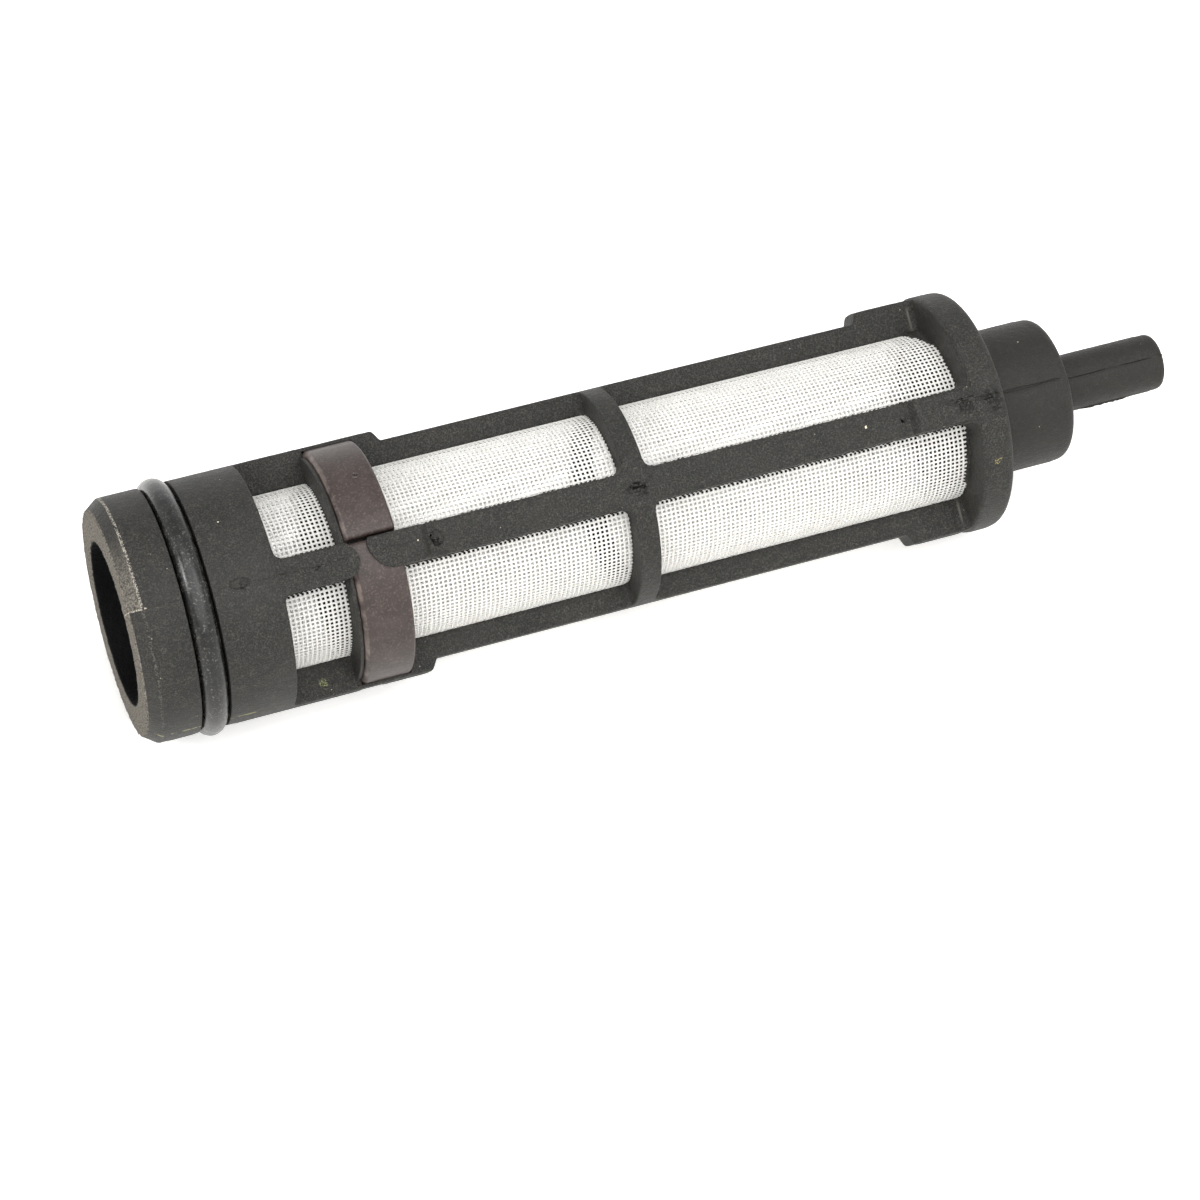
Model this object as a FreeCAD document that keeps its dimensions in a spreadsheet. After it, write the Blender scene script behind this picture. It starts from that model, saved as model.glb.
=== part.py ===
"""Oil strainer screen: a moulded cage over a woven sleeve, with a magnet band and a seal ring.

Millimetres. The origin is the centre of the open collar's end face. +X runs along the axis
to the spigot, and +Z is up as the strainer lies on its seal ring and its flange. The cage has
four ribs, and rib_turn sets how far the first one lies from straight up, towards -Y.
"""
import FreeCAD, Part
import math
import os
import re

import Sketcher

# Driving dimensions. A radius is measured from the strainer's axis, and a start or an end is
# measured along it from the collar's end face.
SIZES = {
    # Open collar
    "collar_radius": 14.0,
    "collar_length": 16.8,
    "lead_in_length": 1.45,
    "lead_in_depth": 1.1,
    # Groove and the seal ring in it
    "groove_start": 5.95,
    "groove_width": 3.3,
    "groove_depth": 2.3,
    "seal_section": 3.0,
    "seal_gap": 0.02,
    # Woven sleeve
    "sleeve_radius": 10.15,
    "sleeve_wall": 0.2,
    "strand_height": 0.1,
    "strand_width": 0.6,
    "strand_count": 12,
    "sleeve_grip": 1.5,
    "sleeve_gap": 0.02,
    "sleeve_ledge": 0.5,
    "mesh_gap_length": 4.2,
    "mesh_bar": 1.4,
    # Ribs: tall beside the collar and the flange, lower between
    "rib_width": 3.9,
    "low_rib_depth": 1.25,
    "tall_past_band": 2.7,
    "tall_before_flange": 7.2,
    "step_slope": 0.5,
    "corner_round": 1.1,
    # Seat ring under the magnet band
    "first_window_length": 7.6,
    "seat_lip_width": 0.45,
    "seat_lip_height": 1.25,
    # Magnet band
    "band_width": 5.75,
    "band_thickness": 1.8,
    "band_gap": 0.05,
    "band_cover": 0.35,
    "band_bevel": 0.3,
    "band_end_round": 0.4,
    "band_open_angle": 3.2,
    # Opening between the two fingers of the first rib
    "finger_length": 1.05,
    "finger_opening": 1.2,
    "finger_slant": 1.6,
    "finger_round": 0.9,
    # Ring half way along the mesh
    "ring_start": 57.6,
    "ring_width": 2.5,
    # End flange, boss and spigot
    "flange_start": 99.2,
    "flange_thickness": 4.0,
    "flange_proud": 0.15,
    "flange_round": 1.5,
    "flange_edge_slope": 0.4,
    "boss_radius": 8.5,
    "boss_length": 10.4,
    "boss_round": 1.3,
    "hollow_radius": 6.0,
    "boss_end_wall": 3.0,
    "spigot_radius": 3.34,
    "spigot_length": 14.3,
    "spigot_round": 0.9,
    # How the strainer lies
    "rib_count": 4,
    "rib_turn": 43.7,
}

# Places that follow from the driving dimensions, by the same names in every sub-part
DERIVED = {
    "groove_end": "groove_start + groove_width",
    "groove_radius": "collar_radius - groove_depth",
    "low_rib_radius": "collar_radius - low_rib_depth",
    "sleeve_seat": "sleeve_radius + sleeve_gap",
    "sleeve_inner": "sleeve_radius - strand_height - sleeve_wall",
    "bore_radius": "sleeve_inner - sleeve_ledge",
    "mesh_gap_width": "sleeve_radius * sin(360 deg / strand_count) - mesh_bar",
    "sleeve_start": "collar_length - sleeve_grip",
    "flange_end": "flange_start + flange_thickness",
    "flange_radius": "collar_radius + flange_proud",
    "sleeve_end": "flange_start + sleeve_grip",
    "boss_end": "flange_end + boss_length",
    "hollow_end": "boss_end - boss_end_wall",
    "spigot_end": "boss_end + spigot_length",
    "seat_start": "collar_length + first_window_length",
    "slot_start": "seat_start + seat_lip_width",
    "slot_radius": "collar_radius - band_cover",
    "band_start": "slot_start + band_gap",
    "band_end": "band_start + band_width",
    "band_radius": "slot_radius - band_gap",
    "band_inner": "band_radius - band_thickness",
    "slot_end": "band_end + band_gap",
    "seat_radius": "band_inner - band_gap",
    "tall_end": "slot_end + tall_past_band",
    "tall_again": "flange_start - tall_before_flange",
    "ring_end": "ring_start + ring_width",
    "trim_radius": "flange_radius + 2",
    "opening_start": "slot_start + finger_length",
}

doc = FreeCAD.newDocument("oil_strainer_screen")
sheet = doc.addObject("Spreadsheet::Sheet", "Sizes")


def bound(text):
    """The expression with each size's name turned into a reference to its cell."""
    known = set(SIZES) | set(DERIVED)
    return re.sub(r"[A-Za-z_]\w*", lambda m: "Sizes." + m[0] if m[0] in known else m[0], text)


def fill_sheet():
    """Write each driving dimension, and the formula of each derived one, beside its name."""
    rows = list(SIZES.items()) + [(name, "=" + text) for name, text in DERIVED.items()]
    for row, (name, content) in enumerate(rows, start=1):
        sheet.set("A%d" % row, name)
        sheet.set("B%d" % row, str(content))
        sheet.setAlias("B%d" % row, name)
    doc.recompute()


def value(text):
    """The present value of an expression of sizes."""
    result = sheet.evalExpression(bound(str(text)))
    return float(getattr(result, "Value", result))


def new_body(label, turn=None):
    """A body of its own, turned about the strainer's axis."""
    body = doc.addObject("PartDesign::Body", label)
    body.Label = label
    if turn:
        body.Placement = FreeCAD.Placement(FreeCAD.Vector(), FreeCAD.Rotation(FreeCAD.Vector(1, 0, 0), 1))
        body.setExpression("Placement.Rotation.Angle", bound(turn))
    return body


def origin_part(body, role):
    """The body's own base plane or axis with this role."""
    return next(f for f in body.Origin.OriginFeatures if f.Role == role)


def sketch_on(body, name, role, height=None):
    """An empty sketch on one of the body's base planes, raised above it if a height is given."""
    sketch = body.newObject("Sketcher::SketchObject", name)
    sketch.AttachmentSupport = [(origin_part(body, role), "")]
    sketch.MapMode = "FlatFace"
    if height:
        sketch.AttachmentOffset = FreeCAD.Placement(FreeCAD.Vector(0, 0, value(height)), FreeCAD.Rotation())
        sketch.setExpression("AttachmentOffset.Base.z", bound(height))
    return sketch


def outline_edge(start, end, leaving):
    """A line, or a quarter round that leaves its start along x or y, with its two end numbers."""
    if leaving is None:
        return Part.LineSegment(start, end), (1, 2)
    centre = FreeCAD.Vector(start.x, end.y, 0) if leaving == "x" else FreeCAD.Vector(end.x, start.y, 0)
    circle = Part.Circle(centre, FreeCAD.Vector(0, 0, 1), abs(end.x - start.x))
    first, last = (math.atan2(p.y - centre.y, p.x - centre.x) for p in (start, end))
    if math.sin(last - first) > 0:
        return Part.ArcOfCircle(circle, first, last), (1, 2)
    return Part.ArcOfCircle(circle, last, first), (2, 1)


def add_outline(sketch, corners):
    """A closed outline whose corners are placed from the origin by expressions of sizes.

    A corner is (x, y). Where a quarter round follows it, it is (x, y, "x" or "y", radius), with
    the direction in which the round leaves the corner.
    """
    first = sketch.GeometryCount
    count = len(corners)
    points = [FreeCAD.Vector(value(corner[0]), value(corner[1]), 0) for corner in corners]
    ends = []
    for i, corner in enumerate(corners):
        leaving = corner[2] if len(corner) > 2 else None
        edge, numbers = outline_edge(points[i], points[(i + 1) % count], leaving)
        sketch.addGeometry(edge)
        ends.append(numbers)
    for i in range(count):
        following = (i + 1) % count
        sketch.addConstraint(Sketcher.Constraint(
            "Coincident", first + i, ends[i][1], first + following, ends[following][0]))
    for i, corner in enumerate(corners):
        for kind, text in zip(("DistanceX", "DistanceY"), corner):
            index = sketch.addConstraint(
                Sketcher.Constraint(kind, -1, 1, first + i, ends[i][0], value(text)))
            sketch.setExpression("Constraints[%d]" % index, bound(text))
        if len(corner) > 2:
            index = sketch.addConstraint(Sketcher.Constraint("Radius", first + i, value(corner[3])))
            sketch.setExpression("Constraints[%d]" % index, bound(corner[3]))


def box_corners(start, end, low, high):
    """The corners of a rectangle given by its four sides."""
    return [(start, low), (end, low), (end, high), (start, high)]


def turned(body, kind, name, polygons, angle=None):
    """A Revolution or Groove of polygons, drawn as (along the axis, radius), about the axis."""
    sketch = sketch_on(body, name + "Section", "XZ_Plane")
    for corners in polygons:
        add_outline(sketch, corners)
    feature = body.newObject("PartDesign::" + kind, name)
    feature.Profile = sketch
    feature.ReferenceAxis = (sketch, ["H_Axis"])
    feature.Angle = 360
    if angle:
        feature.Angle = value(angle)
        feature.setExpression("Angle", bound(angle))
    doc.recompute()
    return feature


def around(body, name, feature, count):
    """Copies of a feature evenly round the strainer's axis."""
    pattern = body.newObject("PartDesign::PolarPattern", name)
    pattern.Originals = [feature]
    pattern.Axis = (origin_part(body, "X_Axis"), [""])
    pattern.Angle = 360
    pattern.Occurrences = int(value(count))
    pattern.setExpression("Occurrences", bound(count))
    body.Tip = pattern
    doc.recompute()


def round_edges(body, name, radius, wanted):
    """A fillet of this radius on the edges of the body's tip that the test picks."""
    base = body.Tip
    names = ["Edge%d" % (i + 1) for i, edge in enumerate(base.Shape.Edges) if wanted(edge)]
    feature = body.newObject("PartDesign::Fillet", name)
    feature.Base = (base, names)
    feature.Radius = value(radius)
    feature.setExpression("Radius", bound(radius))
    doc.recompute()
    return feature


def near(a, b):
    return abs(a - b) < 1e-4


def check_volume(before, feature, grows):
    """Stop if a feature that should add or remove material did nothing."""
    change = feature.Shape.Volume - before
    if change * (1 if grows else -1) <= 0:
        raise RuntimeError(feature.Name + " changed nothing")


def collar(body):
    """The collar as a solid round, with its lead-in chamfer and its seal groove."""
    turned(body, "Revolution", "Collar", [[
        ("0", "0"),
        ("0", "collar_radius - lead_in_depth"),
        ("lead_in_length", "collar_radius"),
        ("groove_start", "collar_radius"),
        ("groove_start", "groove_radius"),
        ("groove_end", "groove_radius"),
        ("groove_end", "collar_radius"),
        ("collar_length", "collar_radius"),
        ("collar_length", "0"),
    ]])


def rib_side(side):
    """One flank of a rib seen from outside, widened by a round at each ring and at each end."""
    flank = "%s * rib_width / 2" % side
    wide = "%s * (rib_width / 2 + corner_round)" % side
    return [
        ("collar_length", wide, "y", "corner_round"),
        ("collar_length + corner_round", flank),
        ("ring_start - corner_round", flank, "x", "corner_round"),
        ("ring_start", wide),
        ("ring_end", wide, "y", "corner_round"),
        ("ring_end + corner_round", flank),
        ("flange_start - corner_round", flank, "x", "corner_round"),
        ("flange_start", wide),
    ]


def other_way(corners):
    """The same side of an outline, gone through from its end to its start."""
    swapped = {"x": "y", "y": "x"}
    result = []
    for i in range(len(corners) - 1, -1, -1):
        before = corners[i - 1] if i else ()
        rest = (swapped[before[2]], before[3]) if len(before) > 2 else ()
        result.append(corners[i][:2] + rest)
    return result


def ribs(body):
    """Four straight ribs from the collar to the flange, over-high until they are trimmed."""
    sketch = sketch_on(body, "RibOutline", "XY_Plane", "bore_radius")
    add_outline(sketch, rib_side("1") + other_way(rib_side("-1")))
    rib = body.newObject("PartDesign::Pad", "Rib")
    rib.Profile = sketch
    height = "trim_radius - 1 - bore_radius"
    rib.Length = value(height)
    rib.setExpression("Length", bound(height))
    doc.recompute()
    around(body, "Ribs", rib, "rib_count")


def rings(body):
    """The seat ring, with the lip that the magnet band stands against, and the middle ring."""
    seat = [
        ("seat_start", "bore_radius"),
        ("slot_end", "bore_radius"),
        ("slot_end", "seat_radius"),
        ("slot_start", "seat_radius"),
        ("slot_start", "seat_radius + seat_lip_height"),
        ("seat_start", "seat_radius + seat_lip_height"),
    ]
    middle = box_corners("ring_start", "ring_end", "bore_radius", "low_rib_radius")
    turned(body, "Revolution", "Rings", [seat, middle])


def end_cap(body):
    """The flange, the boss and the spigot, with their rounded rims."""
    turned(body, "Revolution", "EndCap", [[
        ("flange_start", "0"),
        ("flange_start", "collar_radius"),
        ("flange_start + flange_edge_slope", "flange_radius"),
        ("flange_end - flange_round", "flange_radius", "x", "flange_round"),
        ("flange_end", "flange_radius - flange_round"),
        ("flange_end", "boss_radius"),
        ("boss_end - boss_round", "boss_radius", "x", "boss_round"),
        ("boss_end", "boss_radius - boss_round"),
        ("boss_end", "spigot_radius"),
        ("spigot_end - spigot_round", "spigot_radius", "x", "spigot_round"),
        ("spigot_end", "spigot_radius - spigot_round"),
        ("spigot_end", "0"),
    ]])


def trim_ribs(body):
    """Give the ribs their round crowns: tall, stepped down, and tall again."""
    before = body.Tip.Shape.Volume
    crown = turned(body, "Groove", "RibCrown", [[
        ("collar_length", "collar_radius"),
        ("tall_end", "collar_radius"),
        ("tall_end + step_slope", "low_rib_radius"),
        ("tall_again - step_slope", "low_rib_radius"),
        ("tall_again", "collar_radius"),
        ("flange_start", "collar_radius"),
        ("flange_start", "trim_radius"),
        ("collar_length", "trim_radius"),
    ]])
    check_volume(before, crown, grows=False)


def hollow(body):
    """The bore, the slot in the collar's end, the seat round the sleeve and the boss's hollow."""
    before = body.Tip.Shape.Volume
    inside = turned(body, "Groove", "Inside", [[
        ("0", "0"),
        ("0", "bore_radius"),
        ("collar_length", "bore_radius"),
        ("collar_length", "sleeve_inner - sleeve_gap"),
        ("sleeve_start", "sleeve_inner - sleeve_gap"),
        ("sleeve_start", "sleeve_seat"),
        ("sleeve_end", "sleeve_seat"),
        ("sleeve_end", "hollow_radius"),
        ("hollow_end", "hollow_radius"),
        ("hollow_end", "0"),
    ]])
    check_volume(before, inside, grows=False)


def band_slots(body):
    """The slots through the ribs for the band, and the opening between the first rib's fingers."""
    before = body.Tip.Shape.Volume
    slot = turned(body, "Groove", "BandSlot", [
        box_corners("slot_start", "slot_end", "seat_radius", "slot_radius"),
    ])
    check_volume(before, slot, grows=False)
    reach = "rib_width / 2 + 1"
    sketch = sketch_on(body, "FingerOpening", "XY_Plane", "trim_radius")
    add_outline(sketch, [
        ("opening_start", reach),
        ("opening_start", "-(%s)" % reach),
        ("opening_start + finger_opening + finger_slant", "-(%s)" % reach),
        ("opening_start + finger_opening", reach),
    ])
    pocket = body.newObject("PartDesign::Pocket", "FingerGap")
    pocket.Profile = sketch
    depth = "trim_radius - (band_inner + slot_radius) / 2"
    pocket.Length = value(depth)
    pocket.setExpression("Length", bound(depth))
    doc.recompute()
    check_volume(slot.Shape.Volume, pocket, grows=False)


def round_fingers(body):
    """Round the corners of the two fingers of the first rib."""
    flank = value("rib_width") / 2
    lowest = value("slot_radius") - 0.5
    start = value("opening_start")
    end = value("opening_start + finger_opening + finger_slant")

    def is_finger_corner(edge):
        box = edge.BoundBox
        upright = box.XLength < 1e-3 and box.YLength < 1e-3 and box.ZMin > lowest
        return upright and near(abs(box.YMin), flank) and start - 1e-3 <= box.XMin <= end

    round_edges(body, "FingerRounds", "finger_round", is_finger_corner)


def make_cage():
    """The one-piece moulding that holds everything else."""
    body = new_body("cage", "rib_turn")
    collar(body)
    ribs(body)
    rings(body)
    end_cap(body)
    trim_ribs(body)
    hollow(body)
    band_slots(body)
    round_fingers(body)
    return body


def sleeve_wall(body):
    """The sleeve's wall, full in the collar and the flange and thinner between its long strands."""
    outer = "sleeve_radius - strand_height"
    first = "sleeve_start + sleeve_gap"
    last = "sleeve_end - sleeve_gap"
    turned(body, "Revolution", "Wall", [[
        (first, "sleeve_inner"),
        (first, "sleeve_radius"),
        ("collar_length", "sleeve_radius"),
        ("collar_length", outer),
        ("flange_start", outer),
        ("flange_start", "sleeve_radius"),
        (last, "sleeve_radius"),
        (last, "sleeve_inner"),
    ]])
    strand = turned(body, "Revolution", "Strand", [
        box_corners("collar_length", "flange_start", "sleeve_inner", "sleeve_radius"),
    ], "2 * asin(strand_width / 2 / sleeve_radius)")
    strand.Midplane = True
    doc.recompute()
    around(body, "Strands", strand, "strand_count")


def gap_rows(body, name, start, end):
    """Rows of gaps between the strands, in the four windows between two rings of the cage."""
    length = value("%s - (%s)" % (end, start))
    count = int((length - value("mesh_bar")) // value("mesh_gap_length + mesh_bar"))
    first = "(%s + %s - %d * mesh_gap_length - %d * mesh_bar) / 2" % (start, end, count, count - 1)
    before = body.Tip.Shape.Volume
    sketch = sketch_on(body, name + "Outline", "XY_Plane")
    add_outline(sketch, box_corners(
        first, first + " + mesh_gap_length", "mesh_bar / 2", "mesh_bar / 2 + mesh_gap_width"))
    pocket = body.newObject("PartDesign::Pocket", name)
    pocket.Profile = sketch
    pocket.Midplane = True
    pocket.Type = "ThroughAll"
    doc.recompute()
    check_volume(before, pocket, grows=False)
    grid = body.newObject("PartDesign::MultiTransform", name + "Grid")
    grid.Originals = [pocket]
    steps = []
    if count > 1:
        along = body.newObject("PartDesign::LinearPattern", name + "Along")
        along.Direction = (sketch, ["H_Axis"])
        along.Occurrences = count
        run = "%d * (mesh_gap_length + mesh_bar)" % (count - 1)
        along.Length = value(run)
        along.setExpression("Length", bound(run))
        steps.append(along)
    across = body.newObject("PartDesign::Mirrored", name + "Across")
    across.MirrorPlane = (origin_part(body, "XZ_Plane"), [""])
    turns = body.newObject("PartDesign::PolarPattern", name + "Turns")
    turns.Axis = (sketch, ["H_Axis"])
    turns.Angle = value("360 / rib_count")
    turns.setExpression("Angle", bound("360 / rib_count"))
    turns.Occurrences = 2
    grid.Transformations = steps + [across, turns]
    body.Tip = grid
    doc.recompute()


def make_sleeve():
    """The woven sleeve, gripped at both ends and lying under the ribs and the rings."""
    body = new_body("mesh_sleeve", "rib_turn + 180 / rib_count")
    sleeve_wall(body)
    gap_rows(body, "FirstGaps", "collar_length", "seat_start")
    gap_rows(body, "MiddleGaps", "slot_end", "ring_start")
    gap_rows(body, "LongGaps", "ring_end", "flange_start")
    return body


def make_band():
    """The magnet band: a strip bent round the seat ring, with its two ends at the first rib."""
    flank_angle = "asin(rib_width / 2 / band_radius)"
    body = new_body("magnet_band", "rib_turn * 1 deg - %s + band_open_angle * 0.5 deg" % flank_angle)
    turned(body, "Revolution", "Strip", [[
        ("band_start", "band_inner"),
        ("band_end", "band_inner"),
        ("band_end", "band_radius - band_bevel"),
        ("band_end - band_bevel", "band_radius"),
        ("band_start + band_bevel", "band_radius"),
        ("band_start", "band_radius - band_bevel"),
    ]], "360 - band_open_angle")
    crown = value("band_width - 2 * band_bevel")
    outer = value("band_radius")

    def is_end_edge(edge):
        middle = edge.CenterOfMass
        return near(edge.BoundBox.XLength, crown) and near(math.hypot(middle.y, middle.z), outer)

    round_edges(body, "EndRounds", "band_end_round", is_end_edge)
    return body


def make_seal():
    """The seal ring in the collar's groove, standing proud of the collar."""
    seal = doc.addObject("Part::Torus", "seal_ring")
    seal.Label = "seal_ring"
    sizes = {
        "Radius1": "groove_radius + seal_gap + seal_section / 2",
        "Radius2": "seal_section / 2",
    }
    for name, text in sizes.items():
        setattr(seal, name, value(text))
        seal.setExpression(name, bound(text))
    middle = "groove_start + groove_width / 2"
    seal.Placement = FreeCAD.Placement(
        FreeCAD.Vector(value(middle), 0, 0), FreeCAD.Rotation(FreeCAD.Vector(0, 1, 0), 90)
    )
    seal.setExpression("Placement.Base.x", bound(middle))
    return seal


def check_and_write(parts):
    """Stop on any failed object or unsound shape, then write each sub-part to its own file."""
    doc.recompute()
    for item in doc.Objects:
        if {"Invalid", "Error"} & set(item.State):
            raise RuntimeError(item.Name + " failed")
    os.makedirs("parts", exist_ok=True)
    for part in parts:
        shape = part.Shape
        if shape.isNull() or not shape.isValid() or len(shape.Solids) != 1:
            raise RuntimeError(part.Label + " is unsound")
        shape.exportStep("parts/%s.step" % part.Label)
        box = shape.BoundBox
        print("%s: %.1f mm3, X %.2f to %.2f, Z %.2f to %.2f" % (
            part.Label, shape.Volume, box.XMin, box.XMax, box.ZMin, box.ZMax))


fill_sheet()
check_and_write([make_cage(), make_sleeve(), make_band(), make_seal()])
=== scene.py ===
"""Oil strainer screen on a white table, dressed over its CAD model.

The CAD model is in metres, with +X along the strainer's axis from the open collar to the spigot
and +Z up. The meshes here are worked out in millimetres in the same frame and scaled at the end.
A turn is an angle about the axis, in degrees from straight up towards -Y. A size in a material is
in millimetres too, and is multiplied by MM where a node needs it.
"""

import math
from types import SimpleNamespace

import bmesh
import bpy
import numpy as np
from mathutils import Matrix, Vector, noise


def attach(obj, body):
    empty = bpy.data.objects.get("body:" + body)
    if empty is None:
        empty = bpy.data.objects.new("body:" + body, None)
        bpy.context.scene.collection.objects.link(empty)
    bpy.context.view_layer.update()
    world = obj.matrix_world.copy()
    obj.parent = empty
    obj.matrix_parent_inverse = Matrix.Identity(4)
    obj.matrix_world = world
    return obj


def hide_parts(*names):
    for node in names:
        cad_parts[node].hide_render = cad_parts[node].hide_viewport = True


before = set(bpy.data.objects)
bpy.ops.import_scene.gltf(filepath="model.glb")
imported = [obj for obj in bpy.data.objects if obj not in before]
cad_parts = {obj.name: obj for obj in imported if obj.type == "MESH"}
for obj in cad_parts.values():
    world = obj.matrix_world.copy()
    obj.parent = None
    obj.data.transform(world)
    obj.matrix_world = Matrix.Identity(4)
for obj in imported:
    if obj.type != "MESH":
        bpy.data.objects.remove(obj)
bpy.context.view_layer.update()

MM = 0.001
rng = np.random.default_rng(7)

# Sizes of the strainer, as in its CAD model or a few hundredths under. A pair is where something
# starts and ends along the axis.
COLLAR_RADIUS = 14.0
COLLAR_LENGTH = 16.8
BORE_RADIUS = 9.35
LEAD_IN_LENGTH = 1.46
LEAD_IN_RADIUS = 12.9
GROOVE = (5.95, 9.25)
GROOVE_RADIUS = 11.7
SEAL_CORD_RADIUS = 1.5
SEAL_GAP = 0.02
SLEEVE_RADIUS = 10.15
SLEEVE_SPAN = (15.34, 100.66)
SLEEVE_SEAT_RADIUS = 10.17
RIB_WIDTH = 3.9
RIB_LOW_RADIUS = 12.74
RIB_TALL_RADIUS = 13.98
CORNER_ROUND = 1.1
SEAT_RING = (24.4, 30.7)
SEAT_RING_RADIUS = 11.75
LIP_END = 24.85
LIP_RADIUS = 13.0
BAND = (24.9, 30.65)
BAND_INSIDE = 11.8
BAND_OUTSIDE = 13.6
BAND_SLOT_RADIUS = 13.65
MIDDLE_RING = (57.6, 60.1)
FLANGE = (99.2, 103.2)
FLANGE_RADIUS = 14.15
BOSS_END = 113.6
BOSS_RADIUS = 8.5
BOSS_HOLLOW = (100.72, 110.6)
BOSS_HOLLOW_RADIUS = 6.0
SPIGOT_END = 127.9
SPIGOT_RADIUS = 3.34

# The rib nearest to the eye, and the four ribs
NEAR_RIB = 43.7
RIB_TURNS = [NEAR_RIB + 90 * k for k in range(4)]

# The plastic soaked through the mesh, so the rings and the ribs reach this far in
MOULDED_IN_RADIUS = 9.95

# How many wires the sleeve has: those along the axis are counted round it, the others along it
WIRES_ROUND = 118
WIRES_ALONG = 160


# Places on the strainer

def place(x, radius, turn):
    """The point at this place along the axis, radius and turn."""
    angle = math.radians(turn)
    return (x, -radius * math.sin(angle), radius * math.cos(angle))


def on_rib(x, across, height, turn):
    """A point beside the centre plane of a rib: across it, and this high above the axis."""
    angle = math.radians(turn)
    return (
        x,
        across * math.cos(angle) - height * math.sin(angle),
        across * math.sin(angle) + height * math.cos(angle),
    )


def over_rib(x, across, radius, turn):
    """A point on the cylinder of this radius, at this distance across a rib."""
    return on_rib(x, across, math.sqrt(radius ** 2 - across ** 2), turn)


# Mesh helpers

def rounded(corners):
    """An outline whose corners (x, r, size) are rounded; a corner (x, r) stays sharp."""
    result = []
    for i, corner in enumerate(corners):
        here = np.array(corner[:2], float)
        if len(corner) < 3:
            result.append(tuple(here))
            continue
        size = corner[2]
        before = np.array(corners[i - 1][:2], float) - here
        after = np.array(corners[(i + 1) % len(corners)][:2], float) - here
        before *= size / np.linalg.norm(before)
        after *= size / np.linalg.norm(after)
        steps = 2 + round(5 * size)
        for k in range(steps + 1):
            t = k / steps
            result.append(tuple(here + before * (1 - t) ** 2 + after * t ** 2))
    return result


def loft(sections, closed=False):
    """Vertices and faces of a solid through a row of sections with the same number of points."""
    count = len(sections[0])
    rows = len(sections)
    vertices = [point for section in sections for point in section]
    faces = []
    for i in range(rows if closed else rows - 1):
        here = i * count
        following = (i + 1) % rows * count
        for k in range(count):
            m = (k + 1) % count
            faces.append((here + k, here + m, following + m, following + k))
    if not closed:
        faces.append(tuple(range(count)))
        faces.append(tuple(range((rows - 1) * count, rows * count)))
    return vertices, faces


def turned(outline, segments=320):
    """Vertices and faces of a ring turned from a closed outline of (x, r)."""
    turns = np.linspace(0, 360, segments, endpoint=False)
    return loft([[place(x, r, turn) for x, r in outline] for turn in turns], closed=True)


def turned_solid(outline, segments=320):
    """Vertices and faces of a solid turned from an outline that starts and ends on the axis."""
    count = len(outline) - 2
    turns = np.linspace(0, 360, segments, endpoint=False)
    vertices = [place(x, r, turn) for turn in turns for x, r in outline[1:-1]]
    first = len(vertices)
    last = first + 1
    vertices += [(outline[0][0], 0, 0), (outline[-1][0], 0, 0)]
    faces = []
    for i in range(segments):
        here = i * count
        following = (i + 1) % segments * count
        for k in range(count - 1):
            faces.append((here + k, here + k + 1, following + k + 1, following + k))
        faces.append((first, here, following))
        faces.append((last, following + count - 1, here + count - 1))
    return vertices, faces


# How thick a bead is at its two ends, as a share of its middle
BEAD_END = 0.45


def bead(points, radius, sides=6):
    """Vertices and faces of a thin round bead along a row of points."""
    points = [Vector(p) for p in points]
    angles = [2 * math.pi * k / sides for k in range(sides)]
    last = len(points) - 1
    sections = []
    for i, point in enumerate(points):
        along = points[min(i + 1, last)] - points[max(i - 1, 0)]
        out = Vector((0, point.y, point.z)).normalized()
        side = along.cross(out).normalized()
        up = side.cross(along).normalized()
        size = radius * (BEAD_END if i in (0, last) else 1)
        sections.append([
            tuple(point + size * (side * math.cos(a) + up * math.sin(a))) for a in angles])
    return loft(sections)


def new_object(name, data):
    """An object in the scene that shows this mesh, lamp or camera."""
    thing = bpy.data.objects.new(name, data)
    bpy.context.scene.collection.objects.link(thing)
    return thing


def build(name, shells):
    """One mesh object from several closed shells in millimetres, with outward normals."""
    vertices = []
    faces = []
    for shell_vertices, shell_faces in shells:
        start = len(vertices)
        vertices += shell_vertices
        faces += [tuple(start + k for k in face) for face in shell_faces]
    mesh = bpy.data.meshes.new(name)
    mesh.from_pydata((np.asarray(vertices, float) * MM).tolist(), [], faces)
    work = bmesh.new()
    work.from_mesh(mesh)
    bmesh.ops.recalc_face_normals(work, faces=work.faces)
    work.to_mesh(mesh)
    work.free()
    return new_object(name, mesh)


def combine(base, tool, operation):
    """The tool is added to the base, or cut from it, and is gone afterwards."""
    modifier = base.modifiers.new("combine", "BOOLEAN")
    modifier.operation = operation
    modifier.solver = "MANIFOLD"
    modifier.object = tool
    bpy.context.view_layer.update()
    evaluated = base.evaluated_get(bpy.context.evaluated_depsgraph_get())
    mesh = bpy.data.meshes.new_from_object(evaluated)
    base.modifiers.clear()
    base.data = mesh
    bpy.data.objects.remove(tool)


def keep_largest_part(piece):
    """Takes away the small bits that a cut has freed from the piece."""
    work = bmesh.new()
    work.from_mesh(piece.data)
    left = set(work.verts)
    parts = []
    while left:
        front = [left.pop()]
        part = set(front)
        while front:
            vert = front.pop()
            near = {edge.other_vert(vert) for edge in vert.link_edges} & left
            left -= near
            part |= near
            front += near
        parts.append(part)
    parts.sort(key=len)
    bits = [vert for part in parts[:-1] for vert in part]
    bmesh.ops.delete(work, geom=bits, context="VERTS")
    work.to_mesh(piece.data)
    work.free()


def smooth(piece, degrees=32):
    """Smooth shading, with creases where faces meet at more than this angle."""
    piece.data.shade_smooth()
    piece.data.set_sharp_from_angle(angle=math.radians(degrees))
    modifier = piece.modifiers.new("normals", "WEIGHTED_NORMAL")
    modifier.keep_sharp = True
    return piece


# The collar

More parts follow.
